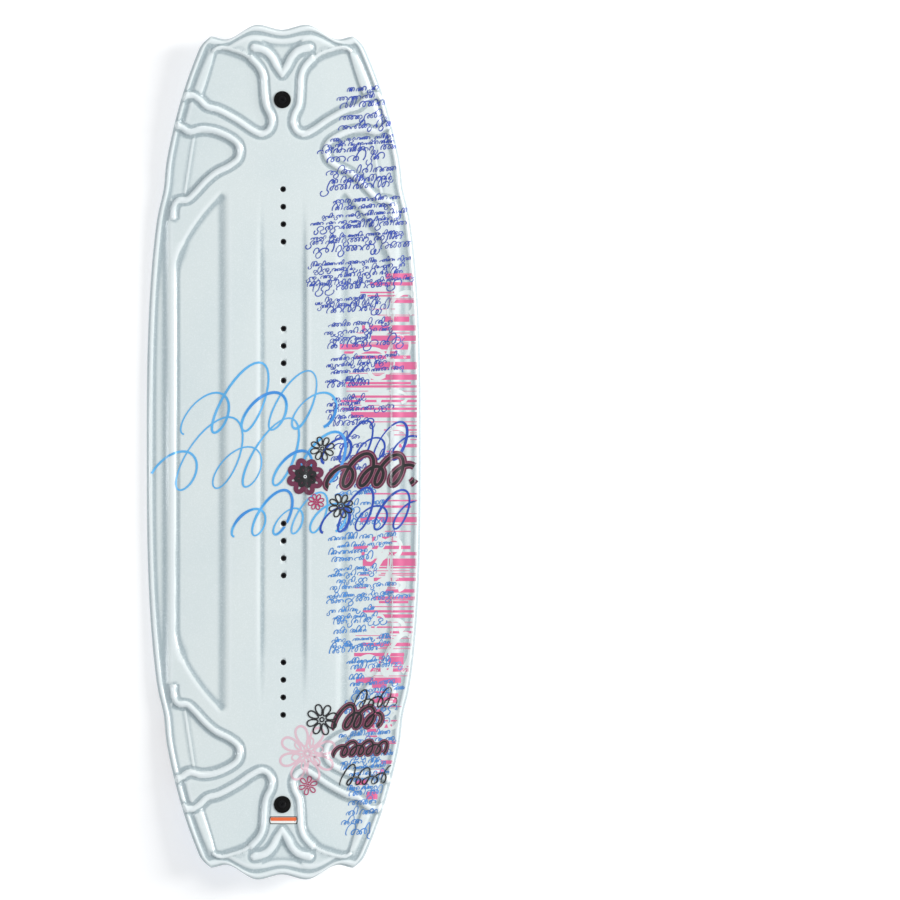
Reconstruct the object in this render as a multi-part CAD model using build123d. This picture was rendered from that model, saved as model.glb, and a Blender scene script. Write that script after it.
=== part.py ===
"""Twin-tip wakeboard: a rockered sandwich board with rows of binding inserts and a bolted fin at each end.

The frame has its origin on the floor under the middle of the belly. +Y runs to the nose, +X to the
right of a viewer who looks down at the deck, +Z up out of the deck. All sizes are in millimetres.
"""
from build123d import *
from math import atan2, degrees, exp, pi, sin
import os

# Board outline
LENGTH = 1240.0            # nose to tail
WIDTH = 402.0              # across the middle
TAPER_REACH = 1.301        # where the side taper would close, in half lengths
TAPER_POWER = 3.13         # how late the sides start to draw in
TAPER_ROOT = 1.16          # how hard they draw in towards the tips
TIP_HIP = (85.0, 96.0, 2.9)        # outer hip: distance from the tip, spread, how far it stands out
MID_HIP = (235.0, 27.0, -3.3)      # inner hip: the same, drawn in
SIDE_END = 32.0            # where the sides hand over to the tip's scalloped edge
SIDE_STATIONS = 12         # steps along each quarter of the side
CORNER_BACK = 17.0         # tip corner, back from the end of the board
CORNER_INSET = 9.0         # tip corner, in from the line of the side
VALLEY_BACK = 20.5         # hollow beside each corner, back from the end
VALLEY_IN = 21.0           # and in from the corner
CREST_X = 35.0             # the two points of the tip that reach furthest
DIP_BACK = 7.0             # dip on the centreline between them

# Board section
ROCKER = 57.0              # rise of the base at the tips
FLAT_LENGTH = 300.0        # flat stretch of the belly
BELLY_THICKNESS = 16.0     # base to the floor of the deck's recesses, at the middle
TIP_THICKNESS = 9.0        # the same at the tips
RAIL_BEVEL = 5.0           # how far the base turns up at the rails
BEVEL_POWER = 8            # how close to the rail that turn stays
DECK_CAMBER = 1.0          # how far the deck falls towards the rails
SHEET = 0.8                # printed deck and base sheets
LAMINATE = 1.0             # glass laminate under each sheet
RAIL_WIDTH = 10.0          # moulded edge between the two sheets

# Deck relief, measured up from the floor of the recesses
SPINE_HEIGHT = 3.0         # raised spine
SPINE_WIDTH = 160.0
SPINE_LENGTH = 744.0
TONGUE_WIDTH = 56.0        # the spine's narrow run out to each fin screw
TONGUE_PAST_SCREW = 55.0   # how far that run goes on past the screw
CHANNEL_FLOOR = 1.0        # floor of the long channel along the spine
CHANNEL_WIDTH = 66.0
CHANNEL_LENGTH = 780.0
CREST_INSET = 37.0         # raised line that follows each rail
CREST_WIDTH = 6.0
CREST_LENGTH = 720.0
END_FLAT = 1.0             # half the straight left at the rounded ends of spine, tongue and channel

# Binding inserts, M6, in four rows of four on the centreline
INSERT_PITCH = 25.4
INSERTS_PER_ROW = 4
INNER_ROW_Y = 142.9        # centre of the rows nearer the middle
ROW_STEP = 203.2           # inner row to outer row
INSERT_RADIUS = 4.15
INSERT_BORE = 2.5
INSERT_LENGTH = BELLY_THICKNESS - 5.0      # leaves the base whole under every row
INSERT_FLOOR = 1.5         # closed bottom of each insert
INSERT_FLANGE_RADIUS = 6.5
INSERT_FLANGE = 1.5
INSERT_SUNK = 0.6          # top of an insert below the deck around it
INSERT_GAP = 0.1           # room round an insert in the sheet and laminate
INSERT_CLEAR = 3.0         # how far that room runs up past the insert's top, through the sheet
STRIP_MARGIN = 12.0        # reinforcing strip past the end inserts
STRIP_WIDTH = 34.0
STRIP_THICKNESS = 3.5

# Fins and what holds them
FIN_CENTRE_BACK = 99.0     # middle of the fin, back from the tip
FIN_LENGTH = 152.0
FIN_THICKNESS = 10.6
FIN_DEPTH = 29.0
FIN_KEEL = ((-0.197, 0.241), (0.079, 0.0), (0.303, 0.414))     # along, up from the lowest edge; shares
FIN_HEEL_EDGE = 0.5        # depth of the blade where it starts
FIN_TOE_EDGE = 1.5         # and where it stops
FIN_HEEL_DROP = -0.35      # slope of the keel where it starts
FIN_TOE_RISE = 1.5         # and where it stops
FIN_SCREW_BACK = 107.0     # fin screw, back from the tip
SCREW_RADIUS = 3.0
SCREW_REACH = 10.0         # shank inside the fin
SCREW_HEAD_RIM = 2.5       # head past the shank
SCREW_HEAD = 2.6
SCREW_HEAD_EDGE = 0.6
SCREW_SOCKET = 1.75        # depth of the socket in the head
SCREW_HEX = 4.0            # hex socket across its flats
WASHER_RADIUS = 12.5
WASHER_THICKNESS = 2.6
WASHER_SUNK = 0.8
WASHER_EDGE = 0.8
SCREW_GAP = 0.3            # room round the screw in washer and sleeve
SLEEVE_WALL = 1.7
NUT_WALL = 1.2
NUT_LENGTH = 9.0
NUT_SUNK = 0.5             # nut below the mouth of its hole in the fin

# Stickers
STICKER = 0.25
BASE_STICKER = (160.0, 57.0, 8.0)      # across, along, corner radius
BASE_STICKER_X = -1.5
BASE_STICKER_GAP = 3.5     # clear of the tail fin
DECK_STICKER = (41.0, 11.0, 1.5)
DECK_STICKER_X = 2.0
DECK_STICKER_GAP = 4.5     # clear of the tail washer

HALF_LENGTH = LENGTH / 2
HALF_WIDTH = WIDTH / 2
FIN_Y = HALF_LENGTH - FIN_CENTRE_BACK
SCREW_Y = HALF_LENGTH - FIN_SCREW_BACK
TONGUE_LENGTH = 2 * (SCREW_Y + TONGUE_PAST_SCREW)
BASE_STICKER_Y = -(FIN_Y - FIN_LENGTH / 2 - BASE_STICKER_GAP - BASE_STICKER[1] / 2)
DECK_STICKER_Y = -(SCREW_Y + WASHER_RADIUS + DECK_STICKER_GAP + DECK_STICKER[1] / 2)
GRID_MARGIN = 14.0         # how far the working surfaces run past the board
GRID_ACROSS = 24           # steps of the working surfaces
GRID_ALONG = 44
HEADROOM = 60.0 + ROCKER   # height of a working block over its surface
ENDS = {"nose": 1, "tail": -1}


def half_width(y):
    """Half the board's width at y."""
    along = abs(y)
    side = HALF_WIDTH * (1 - (along / (TAPER_REACH * HALF_LENGTH)) ** TAPER_POWER) ** TAPER_ROOT
    for back, spread, amount in (TIP_HIP, MID_HIP):
        side += amount * exp(-(((along - HALF_LENGTH + back) / spread) ** 2))
    return side


def rocker(y):
    """Height of the base line at y."""
    rise = max(0.0, abs(y) - FLAT_LENGTH / 2) / (HALF_LENGTH - FLAT_LENGTH / 2)
    return ROCKER * rise ** 2


def base_height(x, y):
    """Height of the outside of the base."""
    return rocker(y) + RAIL_BEVEL * (abs(x) / HALF_WIDTH) ** BEVEL_POWER


def deck_height(x, y):
    """Height of the floor of the deck's recesses."""
    thin = (BELLY_THICKNESS - TIP_THICKNESS) * (y / HALF_LENGTH) ** 2
    return rocker(y) + BELLY_THICKNESS - thin - DECK_CAMBER * (x / HALF_WIDTH) ** 4


def spine_height(y):
    """Height of the deck on the centreline, on the spine or in its channel."""
    lift = CHANNEL_FLOOR if abs(y) < CHANNEL_LENGTH / 2 else SPINE_HEIGHT
    return deck_height(0, y) + lift


def over(height, offset):
    """Block of everything above a height function moved up by offset."""
    reach_x, reach_y = HALF_WIDTH + GRID_MARGIN, HALF_LENGTH + GRID_MARGIN
    rows = []
    for i in range(GRID_ACROSS + 1):
        x = reach_x * (2 * i / GRID_ACROSS - 1)
        ys = [reach_y * (2 * j / GRID_ALONG - 1) for j in range(GRID_ALONG + 1)]
        rows.append([Vector(x, y, height(x, y) + offset) for y in ys])
    face = Face.make_surface_from_array_of_points(rows, tol=0.02, min_deg=3, max_deg=3)
    return Solid.extrude(face, Vector(0, 0, HEADROOM))


def layer(plan, low, high):
    """What lies over one block and under another, inside a plan outline."""
    return (extrude(plan, HEADROOM, both=True) & low) - high


def outline(inset=0.0):
    """Plan outline of the board moved in by inset, from one quarter mirrored twice."""
    tip = HALF_LENGTH - inset
    end = HALF_LENGTH - SIDE_END - inset
    ys = [end * sin(pi / 2 * i / SIDE_STATIONS) for i in range(SIDE_STATIONS + 1)]
    points = [(half_width(y) - inset, y) for y in ys]
    corner = half_width(HALF_LENGTH - CORNER_BACK) - CORNER_INSET - inset
    points += [
        (corner, tip - CORNER_BACK),
        (corner - VALLEY_IN, tip - VALLEY_BACK),
        (CREST_X, tip),
        (0, tip - DIP_BACK),
    ]
    quarter = Spline(*points, tangents=((0, 1), (-1, 0))).edge()
    half = [quarter, quarter.mirror(Plane.YZ)]
    return Face(Wire([*half, *[edge.mirror(Plane.XZ) for edge in half]]))


def tilted(y):
    """Local frame on the deck's centreline at y, with Z square to the deck there."""
    step = 1.0
    slope = (deck_height(0, y + step) - deck_height(0, y - step)) / (2 * step)
    return Location((0, y, spine_height(y)), (degrees(atan2(slope, 1)), 0, 0))


def row_stations(centre):
    """Places along Y of the inserts of one row."""
    middle = (INSERTS_PER_ROW - 1) / 2
    return [centre + INSERT_PITCH * (i - middle) for i in range(INSERTS_PER_ROW)]


def insert_top(y):
    """Height of the top of an insert."""
    return spine_height(y) - INSERT_SUNK


def insert_body(y, gap=0.0):
    """Outside of one insert: a barrel on a flange, upright, with room round it if asked."""
    low = insert_top(y) - INSERT_LENGTH
    length = INSERT_LENGTH + (INSERT_CLEAR if gap else 0)
    barrel = Pos(0, y, low) * Cylinder(INSERT_RADIUS + gap, length,
                                       align=(Align.CENTER, Align.CENTER, Align.MIN))
    flange = Pos(0, y, low) * Cylinder(INSERT_FLANGE_RADIUS, INSERT_FLANGE,
                                       align=(Align.CENTER, Align.CENTER, Align.MIN))
    return barrel + flange


def insert_row(centre):
    """One row of inserts, each a separate threaded bush with a closed floor."""
    solids = []
    for y in row_stations(centre):
        bore = Pos(0, y, insert_top(y)) * Cylinder(INSERT_BORE, INSERT_LENGTH - INSERT_FLOOR,
                                                   align=(Align.CENTER, Align.CENTER, Align.MAX))
        solids += (insert_body(y) - bore).solids()
    return Compound(children=solids)


def strip_plan(centre):
    """Plan of the reinforcing strip round one row of inserts."""
    length = INSERT_PITCH * (INSERTS_PER_ROW - 1) + 2 * STRIP_MARGIN
    return Pos(0, centre) * RectangleRounded(STRIP_WIDTH, length, STRIP_MARGIN / 2)


def fin(end):
    """Centre fin: a lens-shaped plan under a swept side profile, topped by the base."""
    bulge = (FIN_LENGTH ** 2 / 4 + FIN_THICKNESS ** 2 / 4) / FIN_THICKNESS
    offset = bulge - FIN_THICKNESS / 2
    lens = Pos(offset, 0) * Circle(bulge) & Pos(-offset, 0) * Circle(bulge)
    centre = end * FIN_Y
    height = rocker(centre)
    heel, toe = FIN_Y - FIN_LENGTH / 2, FIN_Y + FIN_LENGTH / 2
    low = height - FIN_DEPTH
    middle = [(end * (FIN_Y + along * FIN_LENGTH), low + up * FIN_DEPTH) for along, up in FIN_KEEL]
    keel = Spline((end * heel, rocker(heel) - FIN_HEEL_EDGE), *middle,
                  (end * toe, rocker(toe) - FIN_TOE_EDGE),
                  tangents=((end, FIN_HEEL_DROP), (end, FIN_TOE_RISE)))
    top = Polyline(keel @ 1, (end * toe, height + FIN_DEPTH), (end * heel, height + FIN_DEPTH), keel @ 0)
    side = Face(Wire([keel.edge(), *top.edges()]))
    blade = extrude(Plane.YZ * side, FIN_THICKNESS, both=True)
    return Pos(0, centre) * extrude(lens, HEADROOM, both=True) & blade


def fin_screw(y):
    """Pan-head screw, square to the deck, with a hex socket."""
    reach = WASHER_THICKNESS + screw_through(y) + SCREW_REACH
    shank = Cylinder(SCREW_RADIUS, reach, align=(Align.CENTER, Align.CENTER, Align.MAX))
    head = Cylinder(SCREW_RADIUS + SCREW_HEAD_RIM, SCREW_HEAD,
                    align=(Align.CENTER, Align.CENTER, Align.MIN))
    head = chamfer(head.edges().group_by(Axis.Z)[-1], SCREW_HEAD_EDGE)
    socket = extrude(RegularPolygon(SCREW_HEX / 2, 6, major_radius=False), SCREW_HEAD)
    screw = shank + head - Pos(0, 0, SCREW_HEAD - SCREW_SOCKET) * socket
    return tilted(y) * Pos(0, 0, WASHER_THICKNESS - WASHER_SUNK) * screw


def screw_through(y):
    """Board thickness along the fin screw, washer seat to base."""
    return spine_height(y) - base_height(0, y) - WASHER_SUNK


def fin_washer(y):
    """Round washer sunk a little into the deck."""
    disc = Cylinder(WASHER_RADIUS, WASHER_THICKNESS, align=(Align.CENTER, Align.CENTER, Align.MIN))
    disc = fillet(disc.edges().group_by(Axis.Z)[-1], WASHER_EDGE)
    hole = Cylinder(SCREW_RADIUS + SCREW_GAP, 3 * WASHER_THICKNESS)
    return tilted(y) * Pos(0, 0, -WASHER_SUNK) * (disc - hole)


def washer_seat(y):
    """Room for the washer in the deck."""
    seat = Cylinder(WASHER_RADIUS, 4 * WASHER_THICKNESS, align=(Align.CENTER, Align.CENTER, Align.MIN))
    return tilted(y) * Pos(0, 0, -WASHER_SUNK) * seat


def screw_column(y, radius):
    """Round column along the fin screw, from above the deck to below the fin."""
    return tilted(y) * Cylinder(radius, 2 * HEADROOM)


def fin_nut(y):
    """Threaded bush moulded into the fin round the end of the screw."""
    top = -(WASHER_SUNK + screw_through(y)) - (SCREW_REACH - NUT_LENGTH) - NUT_SUNK
    bush = Cylinder(SCREW_RADIUS + NUT_WALL, NUT_LENGTH, align=(Align.CENTER, Align.CENTER, Align.MAX))
    bore = Cylinder(SCREW_RADIUS, 3 * NUT_LENGTH)
    return tilted(y) * Pos(0, 0, top) * (bush - bore)


def sticker(size, at, low, high):
    """Rounded sticker that follows the surface it lies on."""
    return layer(Pos(*at) * RectangleRounded(*size), low, high)


def merged(shape):
    """A node as one plain solid, or a group of them."""
    solids = shape.solids()
    return solids[0] if len(solids) == 1 else Compound(children=solids)


def build():
    """All the nodes, by name."""
    plan = outline()
    inside = outline(RAIL_WIDTH)
    crest = outline(CREST_INSET) - outline(CREST_INSET + CREST_WIDTH)
    crest &= Rectangle(WIDTH, CREST_LENGTH)
    spine = RectangleRounded(SPINE_WIDTH, SPINE_LENGTH, SPINE_WIDTH / 2 - END_FLAT)
    spine += RectangleRounded(TONGUE_WIDTH, TONGUE_LENGTH, TONGUE_WIDTH / 2 - END_FLAT)
    channel = RectangleRounded(CHANNEL_WIDTH, CHANNEL_LENGTH, CHANNEL_WIDTH / 2 - END_FLAT)

    base = {gap: over(base_height, gap) for gap in (-STICKER, 0, SHEET, SHEET + LAMINATE)}
    under_deck = SHEET + LAMINATE
    lifts = (-under_deck - STRIP_THICKNESS, -under_deck, -SHEET, 0, CHANNEL_FLOOR,
             SPINE_HEIGHT, SPINE_HEIGHT + STICKER)
    deck = {lift: over(deck_height, lift) for lift in lifts}
    rows = {
        "nose_outer": INNER_ROW_Y + ROW_STEP,
        "nose_inner": INNER_ROW_Y,
        "tail_inner": -INNER_ROW_Y,
        "tail_outer": -INNER_ROW_Y - ROW_STEP,
    }
    screws = {name: end * SCREW_Y for name, end in ENDS.items()}

    nodes = {}
    nodes["base_sheet"] = layer(plan, base[0], base[SHEET])
    nodes["base_laminate"] = layer(inside, base[SHEET], base[under_deck])
    nodes["core"] = layer(inside, base[under_deck], deck[-under_deck])
    nodes["deck_laminate"] = layer(inside, deck[-under_deck], deck[-SHEET])
    ring = plan - inside
    nodes["edge_rail"] = layer(ring, base[SHEET], deck[-SHEET])
    sheet = layer(plan, deck[-SHEET], deck[0])
    sheet += layer(spine - channel, deck[-SHEET], deck[SPINE_HEIGHT])
    sheet += layer(channel, deck[-SHEET], deck[CHANNEL_FLOOR])
    sheet += layer(crest, deck[-SHEET], deck[SPINE_HEIGHT])
    nodes["deck_sheet"] = sheet

    for name, centre in rows.items():
        strip = layer(strip_plan(centre), deck[-under_deck - STRIP_THICKNESS], deck[-under_deck])
        nodes["core"] -= strip
        for y in row_stations(centre):
            body = insert_body(y)
            room = insert_body(y, INSERT_GAP)
            nodes["core"] -= body
            strip -= body
            nodes["deck_laminate"] -= room
            nodes["deck_sheet"] -= room
        nodes["strip_" + name] = strip
        nodes["inserts_" + name] = insert_row(centre)

    for name, y in screws.items():
        tube = screw_column(y, SCREW_RADIUS + SCREW_GAP + SLEEVE_WALL)
        hole = screw_column(y, SCREW_RADIUS + SCREW_GAP)
        sleeve = (tube - hole) & base[SHEET]
        nodes["fin_sleeve_" + name] = sleeve - deck[-SHEET]
        for inner in ("core", "base_laminate", "deck_laminate"):
            nodes[inner] -= tube
        nodes["base_sheet"] -= hole
        nodes["deck_sheet"] -= hole
        nodes["deck_sheet"] -= washer_seat(y)
        nodes["fin_washer_" + name] = fin_washer(y)
        screw = fin_screw(y)
        nut = fin_nut(y)
        nodes["fin_screw_" + name] = screw
        nodes["fin_nut_" + name] = nut
        nodes["fin_" + name] = fin(ENDS[name]) - base[0] - screw - nut

    nodes["base_sticker"] = sticker(BASE_STICKER, (BASE_STICKER_X, BASE_STICKER_Y), base[-STICKER], base[0])
    nodes["deck_sticker"] = sticker(DECK_STICKER, (DECK_STICKER_X, DECK_STICKER_Y), deck[SPINE_HEIGHT],
                                    deck[SPINE_HEIGHT + STICKER])
    return nodes


os.makedirs("parts", exist_ok=True)
for node, shape in build().items():
    export_step(merged(shape), os.path.join("parts", node + ".step"))
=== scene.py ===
"""Wakeboard: a pearl white twin-tip board with a moulded deck, printed line art, binding inserts and fins.

Plan outline, section heights and relief are formulas in millimetres; every mesh is in metres, in the
frame's own axes: +Y to the nose, +X to the right seen from above the deck, +Z up out of the deck.
"""

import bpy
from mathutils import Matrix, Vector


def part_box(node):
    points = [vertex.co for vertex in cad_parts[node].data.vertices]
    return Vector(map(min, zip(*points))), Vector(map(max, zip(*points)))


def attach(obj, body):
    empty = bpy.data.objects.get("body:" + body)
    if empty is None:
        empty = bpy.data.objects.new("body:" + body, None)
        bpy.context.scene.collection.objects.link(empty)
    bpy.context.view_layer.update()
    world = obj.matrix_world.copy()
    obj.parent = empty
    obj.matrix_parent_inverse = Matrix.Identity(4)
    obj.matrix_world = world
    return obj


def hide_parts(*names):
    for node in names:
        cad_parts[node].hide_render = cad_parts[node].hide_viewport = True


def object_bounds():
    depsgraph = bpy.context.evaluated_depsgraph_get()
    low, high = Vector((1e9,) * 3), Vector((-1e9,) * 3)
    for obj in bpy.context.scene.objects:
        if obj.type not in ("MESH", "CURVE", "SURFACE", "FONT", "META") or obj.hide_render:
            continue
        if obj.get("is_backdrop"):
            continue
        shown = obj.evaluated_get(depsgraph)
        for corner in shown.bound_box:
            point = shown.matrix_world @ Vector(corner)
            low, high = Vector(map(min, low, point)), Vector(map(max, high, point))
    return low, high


bl_info = {
    "name": "Wakeboard",
    "version": (1, 0, 0),
    "blender": (4, 5, 0),
    "location": "View3D > Sidebar > Wakeboard",
    "description": "Builds the board's moulded skins, rail, printed art, stickers and finishes",
    "category": "Object",
}

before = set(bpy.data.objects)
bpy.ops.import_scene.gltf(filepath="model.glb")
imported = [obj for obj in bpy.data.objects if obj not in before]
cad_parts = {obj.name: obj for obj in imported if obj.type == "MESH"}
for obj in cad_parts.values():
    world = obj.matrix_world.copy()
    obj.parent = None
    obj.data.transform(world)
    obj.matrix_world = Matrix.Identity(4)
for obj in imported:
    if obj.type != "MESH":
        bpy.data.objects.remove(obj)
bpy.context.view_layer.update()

import math
import random

import bmesh
import bpy
import numpy as np
from mathutils import Vector

MM = 0.001
BODY = "root"
ENDS = ("nose", "tail")
ROWS = ("nose_outer", "nose_inner", "tail_inner", "tail_outer")

# Plan of the board, in millimetres
SHEET_LOW, SHEET_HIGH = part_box("base_sheet")
HALF_WIDTH = round(SHEET_HIGH.x / MM)
HALF_LENGTH = 620.0
TAPER_REACH, TAPER_POWER, TAPER_ROOT = 1.301, 3.13, 1.16
TIP_HIP = (85.0, 96.0, 2.9)
MID_HIP = (235.0, 27.0, -3.3)
CORNER_Y = HALF_LENGTH - 17.0
CORNER_TURN = 18.0         # stretch over which the side turns in to the tip corner
CORNER_INSET = 9.0
TIP_EDGE = ((0.0, 613.0), (35.0, 620.0), (82.3, 599.5), (103.3, 603.4))

# Section of the board, in millimetres
ROCKER, FLAT_HALF = 57.0, 150.0
BELLY_THICKNESS, TIP_THICKNESS = 16.0, 9.0
RAIL_BEVEL, BEVEL_POWER, DECK_CAMBER = 5.0, 8, 1.0
SHEET = 0.8
EDGE_ROUND = {"deck": 4.6, "base": 3.2}
LIP = 10.0                 # width of the rail under the skins' edges


def smooth(low, high, value):
    """Soft step from 0 at low to 1 at high."""
    t = np.clip((value - low) / (high - low), 0.0, 1.0)
    return t * t * (3 - 2 * t)


def half_width(y):
    """Half the board's width at distance y from the middle."""
    along = np.minimum(np.abs(y), CORNER_Y)
    side = HALF_WIDTH * (1 - (along / (TAPER_REACH * HALF_LENGTH)) ** TAPER_POWER) ** TAPER_ROOT
    for back, spread, amount in (TIP_HIP, MID_HIP):
        side += amount * np.exp(-(((along - HALF_LENGTH + back) / spread) ** 2))
    turn = np.clip((along - CORNER_Y + CORNER_TURN) / CORNER_TURN, 0.0, 1.0)
    return side - CORNER_INSET * turn ** 2


def tip_edge(x):
    """Distance of the scalloped tip edge from the middle of the board, at x."""
    across = np.abs(x)
    edge = np.full_like(across, TIP_EDGE[0][1])
    for (x0, y0), (x1, y1) in zip(TIP_EDGE, TIP_EDGE[1:]):
        edge = np.where(across >= x0, y0 + (y1 - y0) * smooth(x0, x1, across), edge)
    return edge


def rocker(y):
    """Height of the base line at y."""
    rise = np.maximum(0.0, np.abs(y) - FLAT_HALF) / (HALF_LENGTH - FLAT_HALF)
    return ROCKER * rise ** 2


def base_height(x, y):
    """Height of the plain base under the relief."""
    return rocker(y) + RAIL_BEVEL * (np.abs(x) / HALF_WIDTH) ** BEVEL_POWER


def deck_height(x, y):
    """Height of the floor of the deck's recesses."""
    thin = (BELLY_THICKNESS - TIP_THICKNESS) * (y / HALF_LENGTH) ** 2
    return rocker(y) + BELLY_THICKNESS - thin - DECK_CAMBER * (x / HALF_WIDTH) ** 4


# Deck relief: heights above the recess floor, widths and places in millimetres
SPINE = 3.0
VALLEY = (29.0, 38.5)      # slope on each side of the long central channel
VALLEY_DEPTH = 2.0
VALLEY_END = (235.0, 396.0)
LEAF = (77.0, 95.0)        # slope down to the long side recess
LEAF_TOP = 376.8           # where the side recess ends on its inner edge
LEAF_BEND = 90.0           # where that end starts to slant back to the rail
LEAF_ROUND, LEAF_RUN, LEAF_SLANT = 68.0, 45.0, 0.95
LEAF_OUT = 156.0
LEAF_WALL = 7.0            # half the width of the recess's end wall
LEAF_LIFT, POCKET_A_LIFT, POCKET_B_LIFT = 0.2, 0.1, 0.2    # floors above the recess floor
TIP_FROM = 340.0           # the beads and pockets of the tips start here
CREST = (163.0, 178.0)     # slope down from the outer crest to the ledge
CREST_END = (352.0, 374.0)
LEDGE = 0.3
LEDGE_SLOPE = (10.0, 19.0)
RIM_AT, RIM_SPREAD, RIM_HEIGHT = 5.6, 3.0, 2.2
BEAD_HALF, BEAD_TOP = 6.0, 5.6
WALL = 3.4                 # half the width of a pocket's sloping wall

# Centre lines of the beads on one quarter of the deck
BEAD_A = ((44, 572), (33, 560), (27.2, 546), (25.8, 526), (23.6, 506), (16.8, 491), (15.4, 479),
          (21, 468), (32, 464), (46, 470), (66, 483.5), (92, 497.5), (110, 503), (121, 513), (131, 519),
          (146, 517))
BEAD_B = ((156, 478), (146, 473), (135, 467.5), (118, 471), (98, 468.5), (78, 460), (66, 450.5),
          (62.5, 439), (66, 427), (79, 417), (97, 408), (113, 395), (129, 378), (140, 369), (153, 367),
          (160, 357), (161, 340))
BEAD_V = ((40, 587), (31, 585), (22, 580.5), (14.2, 572), (8, 561), (0, 550))
BEAD_TOP_A = ((99, 583), (93, 586.5), (84, 587), (70, 583.5), (56, 578.5), (45, 571), (37, 562))
THIN_HALF, THIN_TOP = 3.2, 4.6
BEAD_V_HALF = 7.4
GROOVE, GROOVE_WIDTH = 0.6, 1.7            # shallow groove along the foot of each bead
SEAM, SEAM_WIDTH = 0.9, 1.5                # raised seam along the outer wall of each pocket
POCKET_A_WALL = ((44, 572), (56, 579), (70, 584), (88, 587.5), (96, 585), (101, 574), (121, 513))
POCKET_A_SIDE = ((98, 583), (107, 552), (119, 518))
POCKET_B_SIDE = ((129, 464), (136, 424), (144, 376))


def curve_through(points, steps=8):
    """Smooth line through a few points, as an array of places."""
    p = np.array([points[0], *points, points[-1]], float)
    t = np.linspace(0, 1, steps, endpoint=False)[:, None]
    spans = []
    for a, b, c, d in zip(p, p[1:], p[2:], p[3:]):
        spans.append(0.5 * (2 * b + (c - a) * t + (2 * a - 5 * b + 4 * c - d) * t ** 2
                            + (3 * b - a - 3 * c + d) * t ** 3))
    return np.vstack([*spans, p[-1:]])


def distance_to(line, x, y):
    """Distance of every place to a line of points."""
    best = np.full(x.shape, 1e9)
    for (ax, ay), (bx, by) in zip(line, line[1:]):
        dx, dy = bx - ax, by - ay
        t = np.clip(((x - ax) * dx + (y - ay) * dy) / max(dx * dx + dy * dy, 1e-9), 0, 1)
        best = np.minimum(best, (x - ax - t * dx) ** 2 + (y - ay - t * dy) ** 2)
    return np.sqrt(best)


def inside(line, x, y):
    """Which places lie inside a closed line."""
    found = np.zeros(x.shape, bool)
    for (ax, ay), (bx, by) in zip(line, np.roll(line, -1, axis=0)):
        crosses = (ay > y) != (by > y)
        at = ax + (bx - ax) * (y - ay) / (by - ay if by != ay else 1e-9)
        found ^= crosses & (x < at)
    return found


def pocket(line, x, y):
    """1 inside a closed line, 0 outside, with a sloping wall along it."""
    depth = distance_to(np.vstack([line, line[:1]]), x, y)
    return smooth(-WALL, WALL, np.where(inside(line, x, y), depth, -depth))


def bead(line, x, y, half=BEAD_HALF, top=BEAD_TOP):
    """Height of a round bead along a line, below nothing elsewhere."""
    gap = distance_to(line, x, y) / half
    return np.where(gap < 1, top * np.sqrt(np.maximum(0, 1 - gap ** 2)) ** 1.3, 0.0)


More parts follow.
